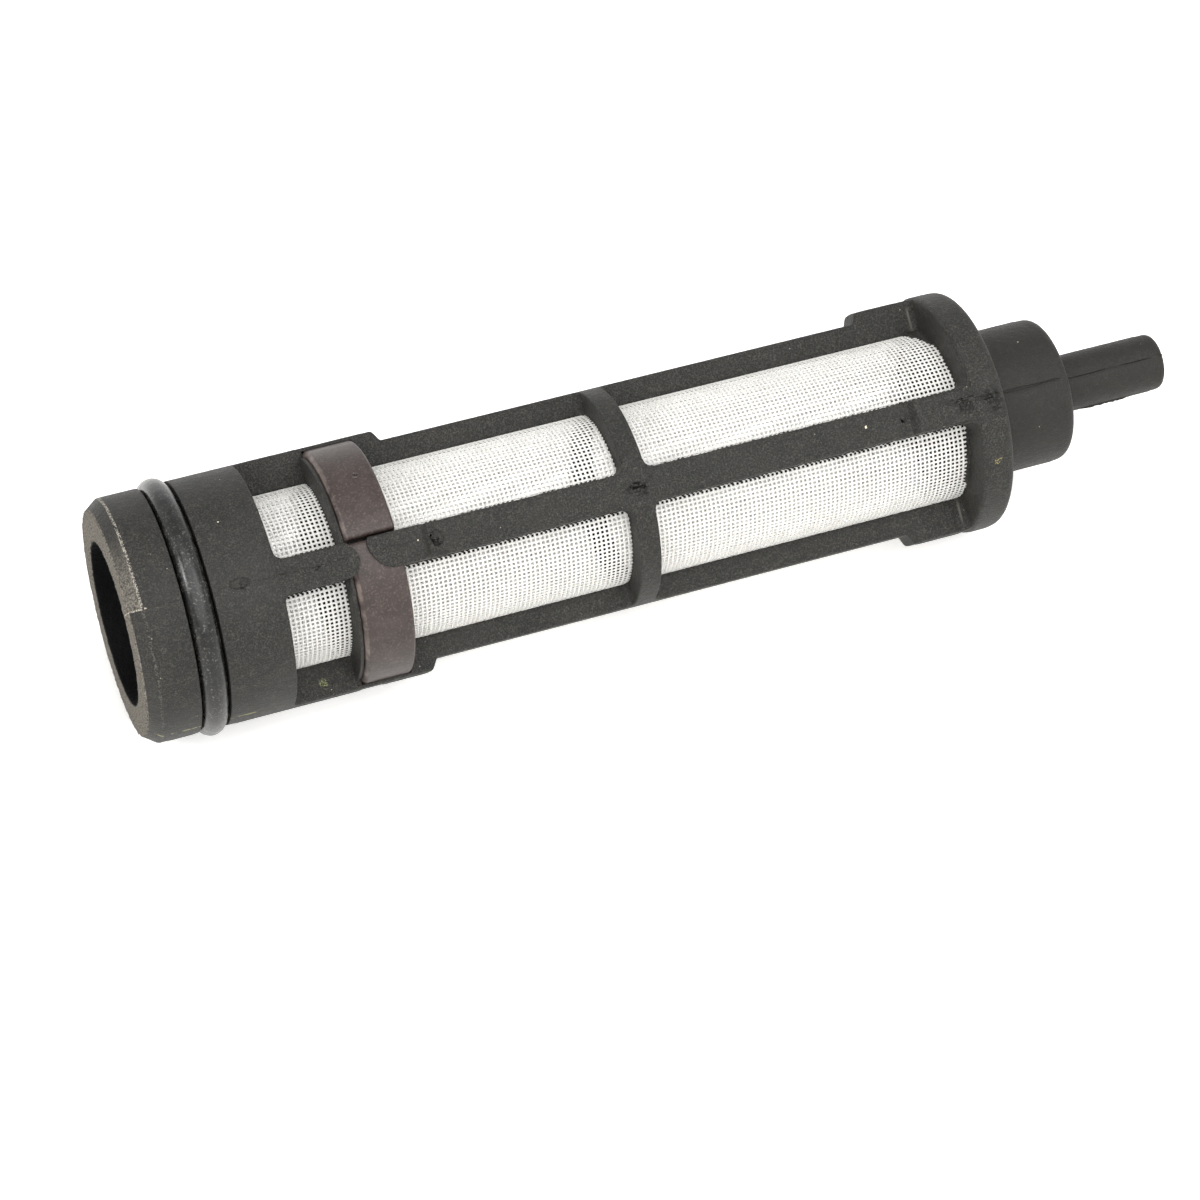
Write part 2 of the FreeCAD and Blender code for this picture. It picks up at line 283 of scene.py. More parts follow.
# Rings of points on the end face, and how deep the rough skin behind it goes
FACE_RINGS = np.arange(9.65, 12.75, 0.28)
FACE_DEPTH = 0.2

# Unevenness of the end face: how close together it comes, how high it is, and its own seed
FACE_WAVES = (0.9, 0.03, 3.1)
FACE_GRAIN = (3.4, 0.075, 9.2)
RAGGED_RIMS = (2.8, 0.004, 5.5)

# Rims of the end face that carry burrs: place, radius and how many
BURR_RIMS = ((0.05, 9.42, 190), (0.05, 12.85, 170), (LEAD_IN_LENGTH, 13.96, 60))
BURR_LENGTHS = (0.08, 0.3)
BURR_WIDTHS = (0.03, 0.07)
BURR_ROOT = 0.06


def unevenness(y, z, per_mm, height, seed):
    """A height that wanders from place to place over the end face."""
    return height * noise.noise(Vector((per_mm * y, per_mm * z, seed)))


def collar_shell():
    """The collar: lead-in, seal groove and a rough end face."""
    outline = [(0, BORE_RADIUS, 0.1)] + [(0, radius) for radius in FACE_RINGS] + [
        (0, LEAD_IN_RADIUS, 0.12), (LEAD_IN_LENGTH, COLLAR_RADIUS, 0.2),
        (GROOVE[0], COLLAR_RADIUS, 0.12), (GROOVE[0], GROOVE_RADIUS, 0.2),
        (GROOVE[1], GROOVE_RADIUS, 0.2), (GROOVE[1], COLLAR_RADIUS, 0.12),
        (COLLAR_LENGTH, COLLAR_RADIUS, 0.18), (COLLAR_LENGTH, BORE_RADIUS, 0.15),
    ]
    vertices, faces = turned(rounded(outline), 400)
    rough = []
    for x, y, z in vertices:
        if x < FACE_DEPTH:
            x += unevenness(y, z, *FACE_WAVES) + unevenness(y, z, *FACE_GRAIN)
            ragged = 1 + unevenness(y, z, *RAGGED_RIMS)
            y *= ragged
            z *= ragged
        rough.append((x, y, z))
    return rough, faces


def burr(x, radius, turn):
    """A short stiff fibre end that leans out of a rim and narrows to its tip."""
    reach = rng.uniform(*BURR_LENGTHS)
    width = rng.uniform(*BURR_WIDTHS)
    root = np.array(place(x + BURR_ROOT, radius, turn))
    out = np.array(place(0, 1, turn))
    side = np.array(place(0, 1, turn + 90))
    lean = np.array([-1, 0, 0]) * rng.uniform(0.2, 1) + out * rng.uniform(-0.7, 0.9)
    lean += side * rng.uniform(-0.7, 0.7)
    lean /= np.linalg.norm(lean)
    wide = np.cross(lean, side + 0.3 * out)
    wide /= np.linalg.norm(wide)
    thick = np.cross(lean, wide)
    corners = [wide * width, thick * width, -wide * width, -thick * width]
    return loft([
        [tuple(root + corner - lean * 0.08) for corner in corners],
        [tuple(root + corner * 0.75 + lean * reach * 0.6) for corner in corners],
        [tuple(root + corner * 0.2 + lean * reach) for corner in corners],
    ])


def face_burrs():
    """Burrs on the rims of the collar's end face."""
    shells = []
    for x, radius, count in BURR_RIMS:
        for turn in rng.uniform(0, 360, count):
            shells.append(burr(x, radius, turn))
    return shells


# The ribs

# Walls at the ends of the ribs' runs: place along the axis, and on which side the rib starts
RIB_WALLS = ((COLLAR_LENGTH, 1), (MIDDLE_RING[0], -1), (MIDDLE_RING[1], 1), (FLANGE[0], -1))
RIB_ROOT = 1.3

# Raised lines that the mould's inserts left across the ribs: place and height
INSERT_LINES = ((17.3, 0.04), (97.4, 0.04))
INSERT_LINE_WIDTH = 0.2

# Where a tall crown slopes down to the low one: place, which way it falls, and over what length
CROWN_SLOPES = ((33.4, 1, 1.1), (92.0, -1, 0.75))
SLOPE_START = 0.35

# The round along both edges of a crown, and how far apart a rib's plain sections are
CROWN_EDGE = 0.3
RIB_STEP = 0.9
RIB_SMALLEST_STEP = 0.3


def rib_half_width(x):
    """Half the rib's width, widened by a round beside each ring and at each end."""
    half = RIB_WIDTH / 2
    for line, height in INSERT_LINES:
        half += height * max(0.0, 1 - abs(x - line) / INSERT_LINE_WIDTH)
    for wall, side in RIB_WALLS:
        away = (x - wall) * side
        if 0 <= away < CORNER_ROUND:
            half += CORNER_ROUND - math.sqrt(CORNER_ROUND ** 2 - (CORNER_ROUND - away) ** 2)
        elif -RIB_ROOT <= away < 0:
            half += CORNER_ROUND
    return half


def rib_crown(x):
    """The radius of the rib's crown: tall beside the collar and the flange, lower between."""
    for edge, side, run in CROWN_SLOPES:
        t = ((x - edge) * side + SLOPE_START) / run
        if t < 0:
            return RIB_TALL_RADIUS
        if t <= 1:
            fall = t * t * (3 - 2 * t)
            return RIB_TALL_RADIUS + (RIB_LOW_RADIUS - RIB_TALL_RADIUS) * fall
    return RIB_LOW_RADIUS


def rib_places():
    """Where along the axis a rib has its sections: close together at its rounds and slopes."""
    places = {COLLAR_LENGTH - 1.2, FLANGE[0] + 1.0}
    for wall, side in RIB_WALLS:
        for k in range(8):
            away = CORNER_ROUND * (1 - math.cos(k * math.pi / 14))
            places.add(round(wall + side * away, 4))
    for edge, side, run in CROWN_SLOPES:
        for k in range(9):
            places.add(round(edge + side * (run * k / 8 - SLOPE_START), 4))
    for line, _ in INSERT_LINES:
        places.update((line - INSERT_LINE_WIDTH, line, line + INSERT_LINE_WIDTH))
    plain = np.arange(17.5, 99.0, RIB_STEP)
    return sorted(places | {
        x for x in plain if min(abs(x - other) for other in places) > RIB_SMALLEST_STEP})


def rib_shell(turn):
    """A rib, with its crown rounded at both edges."""
    quarter = [math.radians(22.5 * k) for k in range(5)]
    sections = []
    for x in rib_places():
        crown = rib_crown(x)
        half = rib_half_width(x)
        inner = half - CROWN_EDGE
        left = [
            (-half + CROWN_EDGE * (1 - math.cos(a)), -CROWN_EDGE * (1 - math.sin(a)))
            for a in quarter
        ]
        middle = [(-inner + 2 * inner * k / 10, 0.0) for k in range(1, 10)]
        right = [(-across, drop) for across, drop in reversed(left)]
        top = [
            (across, math.sqrt(crown ** 2 - across * across) + drop)
            for across, drop in left + middle + right
        ]
        under = [half * (1 - k / 4) for k in range(9)]
        floor = [(across, math.sqrt(MOULDED_IN_RADIUS ** 2 - across * across)) for across in under]
        sections.append([on_rib(x, across, height, turn) for across, height in top + floor])
    return loft(sections)


# The finger opening in the near rib, drawn point by point because both fingertips are uneven:
# place along the axis and distance across the rib
LEFT_FINGERTIP = [
    (24.3, -2.4), (24.6, -1.95), (25.1, -1.65), (25.5, -1.3), (25.78, -0.75), (25.88, -0.1),
    (25.8, 0.5), (25.6, 0.95), (25.3, 1.3), (25.0, 1.65), (24.8, 2.0), (24.6, 2.4),
]
RIGHT_FINGERTIP = [
    (27.7, 2.4), (27.35, 2.0), (27.1, 1.6), (27.05, 1.1), (27.12, 0.5), (27.3, 0.0),
    (27.55, -0.45), (27.85, -0.9), (28.2, -1.3), (28.6, -1.62), (29.1, -1.86), (29.7, -2.0),
    (30.3, -2.4),
]
OPENING_HEIGHTS = (13.0, 15.0)


def finger_opening():
    """What is cut from the near rib between its two fingers."""
    outline = LEFT_FINGERTIP + RIGHT_FINGERTIP
    return loft([
        [on_rib(x, across, height, NEAR_RIB) for x, across in outline]
        for height in OPENING_HEIGHTS
    ])


# The fringes where the moulding meets the sleeve

# A fringe starts inside the sleeve. It stands a little higher at its wall than at its tips.
FRINGE_INSIDE = 9.98
RING_FRINGE_TIP = 10.23
RING_FRINGE_RISE = 0.09
RING_FRINGE_ROOT = 0.15
RIB_FRINGE_TIP = 10.24
RIB_FRINGE_BASE = 10.32
RIB_FRINGE_ROOT = 1.8
FRINGE_RADIUS = 10.2

# Fringes round the axis: the wall, on which side of it the window is, and the mean reach
RING_FRINGES = (
    (COLLAR_LENGTH, 1, 0.09), (SEAT_RING[0], -1, 0.08), (SEAT_RING[1], 1, 0.08),
    (MIDDLE_RING[0], -1, 0.09), (MIDDLE_RING[1], 1, 0.1), (FLANGE[0], -1, 0.25),
)
RIB_FRINGE_REACH = 0.17
WINDOWS = (
    (COLLAR_LENGTH, SEAT_RING[0]), (SEAT_RING[1], MIDDLE_RING[0]), (MIDDLE_RING[1], FLANGE[0]))

# Where the moulding crept further over the mesh beside the flange: turns, and how far there
TONGUE_TURNS = (-42, -25, -19, -11, -6, 58, 68, 98, 102)
TONGUE_REACHES = (2.0, 1.75, 0.95, 0.7, 0, 0, 0.35, 0.3, 0)
TONGUE_RISE = 0.12


def ring_fringe(wall, side, reach):
    """A ragged fringe of moulding on the sleeve, along a wall round the axis."""
    base = wall - side * RING_FRINGE_ROOT
    sections = []
    for i in range(2 * WIRES_ROUND):
        turn = 180 * i / WIRES_ROUND
        tooth = reach * rng.uniform(0.5, 1.7) if i % 2 else reach * rng.uniform(0.1, 0.5)
        height = RING_FRINGE_TIP
        if wall == FLANGE[0]:
            from_top = turn - 360 * (turn > 180)
            further = float(np.interp(from_top, TONGUE_TURNS, TONGUE_REACHES, left=0, right=0))
            tooth += further * rng.uniform(0.8, 1.0)
            height += TONGUE_RISE * further * rng.uniform(0.3, 1.0)
        tip = wall + side * tooth
        sections.append([
            place(base, FRINGE_INSIDE, turn), place(base, height + RING_FRINGE_RISE, turn),
            place(tip, height, turn), place(tip, FRINGE_INSIDE, turn),
        ])
    return loft(sections, closed=True)


def rib_fringe(turn, side, start, end):
    """A ragged fringe of moulding on the sleeve, along one flank of a rib."""
    step = (SLEEVE_SPAN[1] - SLEEVE_SPAN[0]) / WIRES_ALONG / 2
    base = turn + side * math.degrees(math.asin(RIB_FRINGE_ROOT / FRINGE_RADIUS))
    flank = math.asin(RIB_WIDTH / 2 / FRINGE_RADIUS)
    sections = []
    for i in range(int((end - start) / step)):
        x = start + (i + 0.5) * step
        share = rng.uniform(0.4, 1.6) if i % 2 else rng.uniform(0.0, 0.5)
        tip = turn + side * math.degrees(flank + RIB_FRINGE_REACH * share / FRINGE_RADIUS)
        sections.append([
            place(x, FRINGE_INSIDE, base), place(x, RIB_FRINGE_BASE, base),
            place(x, RIB_FRINGE_TIP, tip), place(x, FRINGE_INSIDE, tip),
        ])
    return loft(sections)


def fringes():
    """All the fringes, round the axis and along the ribs."""
    shells = [ring_fringe(wall, side, reach) for wall, side, reach in RING_FRINGES]
    for turn in RIB_TURNS:
        for start, end in WINDOWS:
            for side in (1, -1):
                shells.append(rib_fringe(turn, side, start, end))
    return shells


# The lines and marks that the mould left

# How far the mould's joints lie beside the centre of each rib, and a line beside a joint
JOINT = 0.35
BESIDE_JOINT = JOINT - 0.2

# Raised lines along the joints: start, end, distance across the rib, radius and thickness
RAISED_LINES = (
    (10.0, 25.0, JOINT, 13.99, 0.07), (27.4, 32.9, JOINT, 13.99, 0.07),
    (2.2, 5.6, JOINT, 13.99, 0.07), (92.8, 98.6, JOINT, 13.99, 0.07),
    (99.4, 102.3, BESIDE_JOINT, 14.08, 0.14), (103.4, 112.3, BESIDE_JOINT, 8.44, 0.14),
    (114.0, 126.6, BESIDE_JOINT, 3.27, 0.14),
)

# Fine open lines along them on the flange, the boss and the spigot
OPEN_LINES = (
    (98.3, 102.6, JOINT, 14.16, 0.16), (103.4, 112.2, JOINT, 8.5, 0.16),
    (114.1, 126.0, JOINT, 3.34, 0.11),
)

# Closed creases on the near rib: place, distance across, radius, length, width and thickness
OVAL_CREASES = (
    (12.35, 0.45, 14.0, 2.1, 1.1, 0.1), (12.8, 0.4, 14.0, 0.9, 0.5, 0.08),
    (35.0, 0.1, 12.74, 1.4, 1.7, 0.09),
)

# Groups of curled creases there: the same, with how many before the thickness
CURLED_CREASES = (
    (20.5, -0.2, 13.99, 2.0, 0.6, 3, 0.06), (34.6, 0.2, 12.75, 1.2, 1.2, 5, 0.07),
    (58.6, 0.15, 12.75, 3.4, 0.8, 9, 0.08), (91.2, 0.1, 12.75, 1.6, 0.7, 4, 0.07),
    (97.6, 0.3, 13.99, 2.2, 0.8, 5, 0.06), (100.8, 0.3, 14.15, 2.6, 0.7, 5, 0.07),
)

# Cracks there: start, end, distance across, radius and thickness
CRACKS = ((95.8, 99.4, 0.75, 13.97, 0.08), (99.6, 102.0, 0.5, 14.12, 0.1))

# Fins along the spigot's joints: turn, start, end and height
SPIGOT_FINS = (
    (NEAR_RIB + 90, 116.4, 124.0, 0.2), (NEAR_RIB - 90, 117.0, 120.5, 0.08),
    (NEAR_RIB, 126.8, 127.75, 0.12),
)
FIN_STEP = 0.3
FIN_ROOT = 3.1
FIN_BASE = 3.3


def wandering(start, end, across, radius, turn, wander=0.03, step=0.5):
    """Points of a nearly straight line along the strainer, beside a rib's centre plane."""
    count = max(3, int((end - start) / step) + 1)
    shift = np.cumsum(rng.normal(0, wander, count))
    shift -= np.linspace(shift[0], shift[-1], count)
    places = np.linspace(start, end, count)
    return [over_rib(x, across + s, radius, turn) for x, s in zip(places, shift)]


def joint_lines(runs):
    """Beads along the joints of the mould's four parts."""
    return [
        bead(wandering(start, end, across, radius, turn), size)
        for turn in RIB_TURNS
        for start, end, across, radius, size in runs
    ]


def curled_creases(x, across, radius, length, width, count, size):
    """Short curled creases close together on the near rib, where two fronts of the melt met."""
    shells = []
    for _ in range(count):
        middle = x + rng.uniform(-0.5, 0.5) * length
        offset = across + rng.uniform(-0.5, 0.5) * width
        reach = length * rng.uniform(0.12, 0.3)
        bend = rng.uniform(0.08, 0.3)
        phase = rng.uniform(0, 6)
        points = []
        for k in range(9):
            t = k / 8 - 0.5
            wave = bend * math.sin(4.5 * t + phase) + 0.35 * bend * math.sin(11 * t + phase)
            points.append(over_rib(middle + reach * 2 * t, offset + wave, radius, NEAR_RIB))
        shells.append(bead(points, size * rng.uniform(0.7, 1.2)))
    return shells


def oval_crease(x, across, radius, length, width, size):
    """A closed oval crease in the near rib."""
    angles = [2 * math.pi * k / 24 for k in range(25)]
    points = []
    for a in angles:
        ragged = 1 + rng.uniform(-0.12, 0.12)
        along = x + length / 2 * ragged * math.cos(a)
        points.append(over_rib(along, across + width / 2 * ragged * math.sin(a), radius, NEAR_RIB))
    return bead(points, size)


def melt_marks():
    """The rough marks on the near rib: on the collar, at both slopes, on the ring and the flange."""
    shells = [oval_crease(*crease) for crease in OVAL_CREASES]
    for group in CURLED_CREASES:
        shells += curled_creases(*group)
    for start, end, across, radius, size in CRACKS:
        shells.append(bead(wandering(start, end, across, radius, NEAR_RIB, 0.07, 0.3), size))
    return shells


def spigot_fins():
    """Thin ragged fins left along the spigot's joints."""
    shells = []
    for turn, start, end, height in SPIGOT_FINS:
        count = int((end - start) / FIN_STEP) + 2
        sections = []
        for k, x in enumerate(np.linspace(start, end, count)):
            fade = min(1.0, 3 * k / count + 0.3, 3 * (count - 1 - k) / count + 0.3)
            rise = FIN_BASE + (height + 0.04) * fade * rng.uniform(0.7, 1.1)
            sections.append([
                on_rib(x, JOINT - 0.06, FIN_ROOT, turn), on_rib(x, JOINT + 0.06, FIN_ROOT, turn),
                on_rib(x, JOINT + 0.03, rise, turn), on_rib(x, JOINT - 0.03, rise, turn),
            ])
        shells.append(loft(sections))
    return shells


# The cage

# The slot in the collar that takes the sleeve's end
SLEEVE_SLOT = [(15.2, 9.6), (15.2, 10.19), (17.5, 10.19), (17.5, 9.6)]
CAP_START = 98


def end_cap():
    """The closed end: flange, hollow boss and spigot."""
    outside = rounded([
        (FLANGE[0], 6.0), (FLANGE[0], FLANGE_RADIUS, 0.6),
        (FLANGE[1], FLANGE_RADIUS, 1.3), (FLANGE[1], BOSS_RADIUS, 0.25),
        (BOSS_END, BOSS_RADIUS, 1.25), (BOSS_END, SPIGOT_RADIUS, 0.3),
        (SPIGOT_END, SPIGOT_RADIUS, 0.9), (SPIGOT_END, 0.5),
    ])
    cap = build("end_cap", [turned_solid([(FLANGE[0], 0)] + outside + [(SPIGOT_END, 0)])])
    hollow = [
        (CAP_START, 0), (CAP_START, SLEEVE_SEAT_RADIUS), (BOSS_HOLLOW[0], SLEEVE_SEAT_RADIUS),
        (BOSS_HOLLOW[0], BOSS_HOLLOW_RADIUS), (BOSS_HOLLOW[1], BOSS_HOLLOW_RADIUS),
        (BOSS_HOLLOW[1], 0),
    ]
    combine(cap, build("cap_hollow", [turned_solid(hollow)]), "DIFFERENCE")
    return cap


def make_cage():
    """The one-piece moulding: collar, ribs, rings, flange, boss and spigot."""
    cage = build("cage_moulding", [collar_shell()])
    combine(cage, build("sleeve_slot", [turned(SLEEVE_SLOT)]), "DIFFERENCE")
    seat_ring = rounded([
        (SEAT_RING[0], MOULDED_IN_RADIUS), (SEAT_RING[1], MOULDED_IN_RADIUS),
        (SEAT_RING[1], SEAT_RING_RADIUS, 0.1), (LIP_END, SEAT_RING_RADIUS),
        (LIP_END, LIP_RADIUS, 0.12), (SEAT_RING[0], LIP_RADIUS, 0.15),
    ])
    combine(cage, build("seat_ring", [turned(seat_ring)]), "UNION")
    middle_ring = rounded([
        (MIDDLE_RING[0], MOULDED_IN_RADIUS), (MIDDLE_RING[1], MOULDED_IN_RADIUS),
        (MIDDLE_RING[1], RIB_LOW_RADIUS, 0.25), (MIDDLE_RING[0], RIB_LOW_RADIUS, 0.25),
    ])
    combine(cage, build("middle_ring", [turned(middle_ring)]), "UNION")
    combine(cage, end_cap(), "UNION")
    for turn in RIB_TURNS:
        combine(cage, build("rib", [rib_shell(turn)]), "UNION")
    band_slot = [
        (LIP_END, SEAT_RING_RADIUS), (LIP_END, BAND_SLOT_RADIUS),
        (SEAT_RING[1], BAND_SLOT_RADIUS), (SEAT_RING[1], SEAT_RING_RADIUS),
    ]
    combine(cage, build("band_slot", [turned(band_slot)]), "DIFFERENCE")
    combine(cage, build("finger_opening", [finger_opening()]), "DIFFERENCE")

    # The cuts come before the fine raised lines, because they are quick only in a plain solid
    for shells in (joint_lines(OPEN_LINES), melt_marks()):
        combine(cage, build("taken", shells), "DIFFERENCE")
    for shells in (fringes(), joint_lines(RAISED_LINES), spigot_fins(), face_burrs()):
        combine(cage, build("added", shells), "UNION")
    keep_largest_part(cage)
    return smooth(cage)


# The woven sleeve

# Half of a wire's width and height, how far a wire rises and falls, and the room over the wires
WIRE_WIDTH = 0.13
WIRE_HEIGHT = 0.04
WAVE = 0.012
ROOM_OVER_WIRES = 0.005

# A wire's outline, as shares of its half width and half height: flat on top, pointed below
WIRE_OUTLINE = ((0.75, 1), (1, 0), (0, -1), (-1, 0), (-0.75, 1))

# How far wires stray: in their places round and along the sleeve, and in their own course
ROUND_STRAY = 0.004
ALONG_STRAY = 0.003
COURSE_STRAY = 0.0003
STRAY_LENGTH = 12
SLEEVE_MARGIN = 0.15


def wire_tubes(name, lines, outward, closed):
    """Slightly flattened wires along rows of points, each with its outward direction."""
    count, length = lines.shape[:2]
    sides = len(WIRE_OUTLINE)
    ahead = np.roll(lines, -1, axis=1)
    behind = np.roll(lines, 1, axis=1)
    if not closed:
        ahead[:, -1] = lines[:, -1]
        behind[:, 0] = lines[:, 0]
    along = ahead - behind
    along /= np.linalg.norm(along, axis=2, keepdims=True)
    side = np.cross(along, outward)
    side /= np.linalg.norm(side, axis=2, keepdims=True)
    up = np.cross(side, along)
    corners = [lines + WIRE_WIDTH * a * side + WIRE_HEIGHT * b * up for a, b in WIRE_OUTLINE]
    vertices = np.stack(corners, axis=2).reshape(-1, 3) * MM
    row = np.arange(length if closed else length - 1)[None, :, None]
    first = np.arange(count)[:, None, None] * length * sides
    here = first + row * sides
    following = first + (row + 1) % length * sides
    k = np.arange(sides)[None, None, :]
    m = (k + 1) % sides
    quads = np.stack([here + k, following + k, following + m, here + m], axis=3).reshape(-1, 4)
    mesh = bpy.data.meshes.new(name)
    mesh.vertices.add(len(vertices))
    mesh.vertices.foreach_set("co", vertices.ravel())
    mesh.loops.add(quads.size)
    mesh.loops.foreach_set("vertex_index", quads.ravel())
    mesh.polygons.add(len(quads))
    mesh.polygons.foreach_set("loop_start", np.arange(len(quads)) * 4)
    mesh.update(calc_edges=True)
    mesh.shade_smooth()
    return new_object(name, mesh)


def in_halves(name, lines, outward, closed):
    """Wires as two pieces, with half of the wires in each."""
    return [
        wire_tubes("%s_%d" % (name, i), lines[half], outward[half], closed)
        for i, half in enumerate(np.array_split(np.arange(len(lines)), 2))
    ]


def over_under(steps):
    """How far a wire is over (1) or under (-1) at each of its steps, two to a crossing."""
    step = np.arange(steps)
    return np.where(step % 2 == 0, np.where(step // 2 % 2 == 0, 1.0, -1.0), 0.0)


def taking_turns(count):
    """1 and -1 in turn, because each wire goes over where its neighbours go under."""
    return np.where(np.arange(count) % 2 == 0, 1.0, -1.0)


def stray(count, size):
    """A slow random wander along a row of wires."""
    knots = rng.normal(0, size, count // STRAY_LENGTH + 3)
    return np.interp(np.linspace(0, len(knots) - 1, count), np.arange(len(knots)), knots)


def make_sleeve():
    """Plain weave of nylon wire: wires along the axis over and under wires round it."""
    middle = SLEEVE_RADIUS - WIRE_HEIGHT - WAVE - ROOM_OVER_WIRES
    turns = (np.arange(WIRES_ROUND) + stray(WIRES_ROUND, ROUND_STRAY)) * 2 * np.pi / WIRES_ROUND
    places = np.linspace(SLEEVE_SPAN[0] + SLEEVE_MARGIN, SLEEVE_SPAN[1] - SLEEVE_MARGIN, WIRES_ALONG)
    places = places + stray(WIRES_ALONG, ALONG_STRAY)

    steps = 2 * WIRES_ALONG - 1
    radius = middle + WAVE * taking_turns(WIRES_ROUND)[:, None] * over_under(steps)[None, :]
    bend = turns[:, None] + stray(steps, COURSE_STRAY)[None, :]
    outward = np.stack([np.zeros_like(bend), -np.sin(bend), np.cos(bend)], axis=2)
    lines = radius[:, :, None] * outward
    lines[:, :, 0] = np.interp(np.arange(steps) / 2, np.arange(WIRES_ALONG), places)[None, :]
    pieces = in_halves("sleeve_long_wires", lines, outward, closed=False)

    steps = 2 * WIRES_ROUND
    whole_round = np.append(turns, turns[0] + 2 * np.pi)
    angle = np.interp(np.arange(steps) / 2, np.arange(WIRES_ROUND + 1), whole_round)
    radius = middle - WAVE * taking_turns(WIRES_ALONG)[:, None] * over_under(steps)[None, :]
    outward = np.stack([np.zeros(steps), -np.sin(angle), np.cos(angle)], axis=1)
    lines = radius[:, :, None] * outward[None, :, :]
    lines[:, :, 0] = places[:, None]
    outward = np.broadcast_to(outward[None, :, :], lines.shape)
    return pieces + in_halves("sleeve_round_wires", lines, outward, closed=True)


# The magnet band and the seal ring

# Turns between the strip's two ends, and from the near rib's flank to its first end
BAND_OPENING = 2.0
BAND_PAST_RIB = 1.2

# The strip's ends are rounded over this length and fall by this much
BAND_END_LENGTH = 0.55
BAND_END_FALL = 0.45

# The even bevel on its right side, and the worn one on its left: width and depth
BAND_BEVEL = 0.22
WORN_BEVEL = (0.45, 0.4)
BAND_GAP = 0.02

# The dried drop on the band: place, turn, and its rings, each with radius and height
DROP_PLACE = 28.4
DROP_TURN = 2.6
DROP_RINGS = ((0.5, -0.3), (0.53, 0.0), (0.49, 0.1), (0.34, 0.18), (0.12, 0.21))
DROP_WIDTH_SHARE = 0.85


def drop_shell():
    """The small flat drop that dried on the band."""
    angles = [2 * math.pi * k / 20 for k in range(20)]
    return loft([
        [
            over_rib(
                DROP_PLACE + size * math.cos(a), DROP_WIDTH_SHARE * size * math.sin(a),
                BAND_OUTSIDE + rise, DROP_TURN)
            for a in angles
        ]
        for size, rise in DROP_RINGS
    ])


def make_band():
    """The magnet strip, bent round the seat ring, with bevelled sides and rounded ends."""
    half_rib = math.degrees(math.asin(RIB_WIDTH / 2 / BAND_OUTSIDE))
    start = NEAR_RIB - half_rib - BAND_PAST_RIB
    whole = 360 - BAND_OPENING
    end_turn = math.degrees(BAND_END_LENGTH / BAND_OUTSIDE)
    ends = [end_turn * (1 - math.cos(k * math.pi / 14)) for k in range(7)]
    between = [along for along in np.linspace(0, whole, 300) if end_turn < along < whole - end_turn]
    left = BAND[0] + BAND_GAP
    right = BAND[1]
    sections = []
    for along in ends + between + [whole - end for end in reversed(ends)]:
        t = max(0.0, 1 - min(along, whole - along) / end_turn)
        top = BAND_OUTSIDE - BAND_END_FALL * (1 - math.sqrt(1 - t * t))
        section = rounded([
            (left, BAND_INSIDE), (right, BAND_INSIDE),
            (right, top - BAND_BEVEL, 0.08), (right - BAND_BEVEL, top, 0.1),
            (BAND[0] + WORN_BEVEL[0], top, 0.12), (left, top - WORN_BEVEL[1], 0.1),
        ])
        wobble = 0.012 * noise.noise(Vector((along * 0.2, 1.7, 0)))
        sections.append([place(x, r + wobble, start - along) for x, r in section])
    strip = build("magnet_strip", [loft(sections)])
    combine(strip, build("drop", [drop_shell()]), "UNION")
    return smooth(strip, 40)


def make_seal():
    """The seal ring in its groove, very slightly uneven."""
    centre_x = (GROOVE[0] + GROOVE[1]) / 2
    centre_r = GROOVE_RADIUS + SEAL_GAP + SEAL_CORD_RADIUS
    sections = []
    for turn in np.linspace(0, 360, 288, endpoint=False):
        spot = Vector(place(0, 2.2, turn))
        shift = 0.03 * noise.noise(spot)
        radius = SEAL_CORD_RADIUS + 0.02 * noise.noise(spot * 2.0)
        sections.append([
            place(centre_x + shift + radius * math.cos(t), centre_r + radius * math.sin(t), turn)
            for t in np.linspace(0, 2 * math.pi, 40, endpoint=False)
        ])
    return smooth(build("seal", [loft(sections, closed=True)]), 60)


# Helpers for the materials

def linear(code):
    """An sRGB hex colour as linear red, green, blue and alpha."""
    parts = [int(code[i:i + 2], 16) / 255 for i in (1, 3, 5)]
    return tuple(c / 12.92 if c <= 0.04045 else ((c + 0.055) / 1.055) ** 2.4 for c in parts) + (1.0,)


def add(tree, kind, inputs=(), **settings):
    """A shader node with its settings, and its inputs, by name or in order, set or linked.

    A node given as an input stands for its first output. The order of a MapRange is: value,
    from low, from high, to low, to high.
    """
    node = tree.nodes.new("ShaderNode" + kind)
    for name, setting in settings.items():
        setattr(node, name, setting)
    for key, source in inputs.items() if isinstance(inputs, dict) else enumerate(inputs):
        if isinstance(source, bpy.types.Node):
            source = source.outputs[0]
        if isinstance(source, bpy.types.NodeSocket):
            tree.links.new(source, node.inputs[key])
        else:
            node.inputs[key].default_value = source
    return node


def new_material(name):
    """An empty node material, its tree, and the place on the object that its patterns follow."""
    material = bpy.data.materials.new(name)
    material.use_nodes = True
    tree = material.node_tree
    tree.nodes.clear()
    return material, tree, add(tree, "TexCoord").outputs["Object"]


def patterns_in(tree, where, patterns):
    """Random patterns from 0 to 1 by name, each from its size in mm, detail and roughness."""
    return {
        name: add(tree, "TexNoise", {
            "Vector": where, "Scale": 1 / (size * MM), "Detail": detail, "Roughness": roughness,
        })
        for name, (size, detail, roughness) in patterns.items()
    }


def two_tone(tree, factor, low, high, dark, light):
    """A colour that goes from dark to light as the factor goes from low to high."""
    ramp = add(tree, "ValToRGB", {"Fac": factor})
    for element, position, code in zip(ramp.color_ramp.elements, (low, high), (dark, light)):
        element.position = position
        element.color = linear(code)
    return ramp.outputs["Color"]


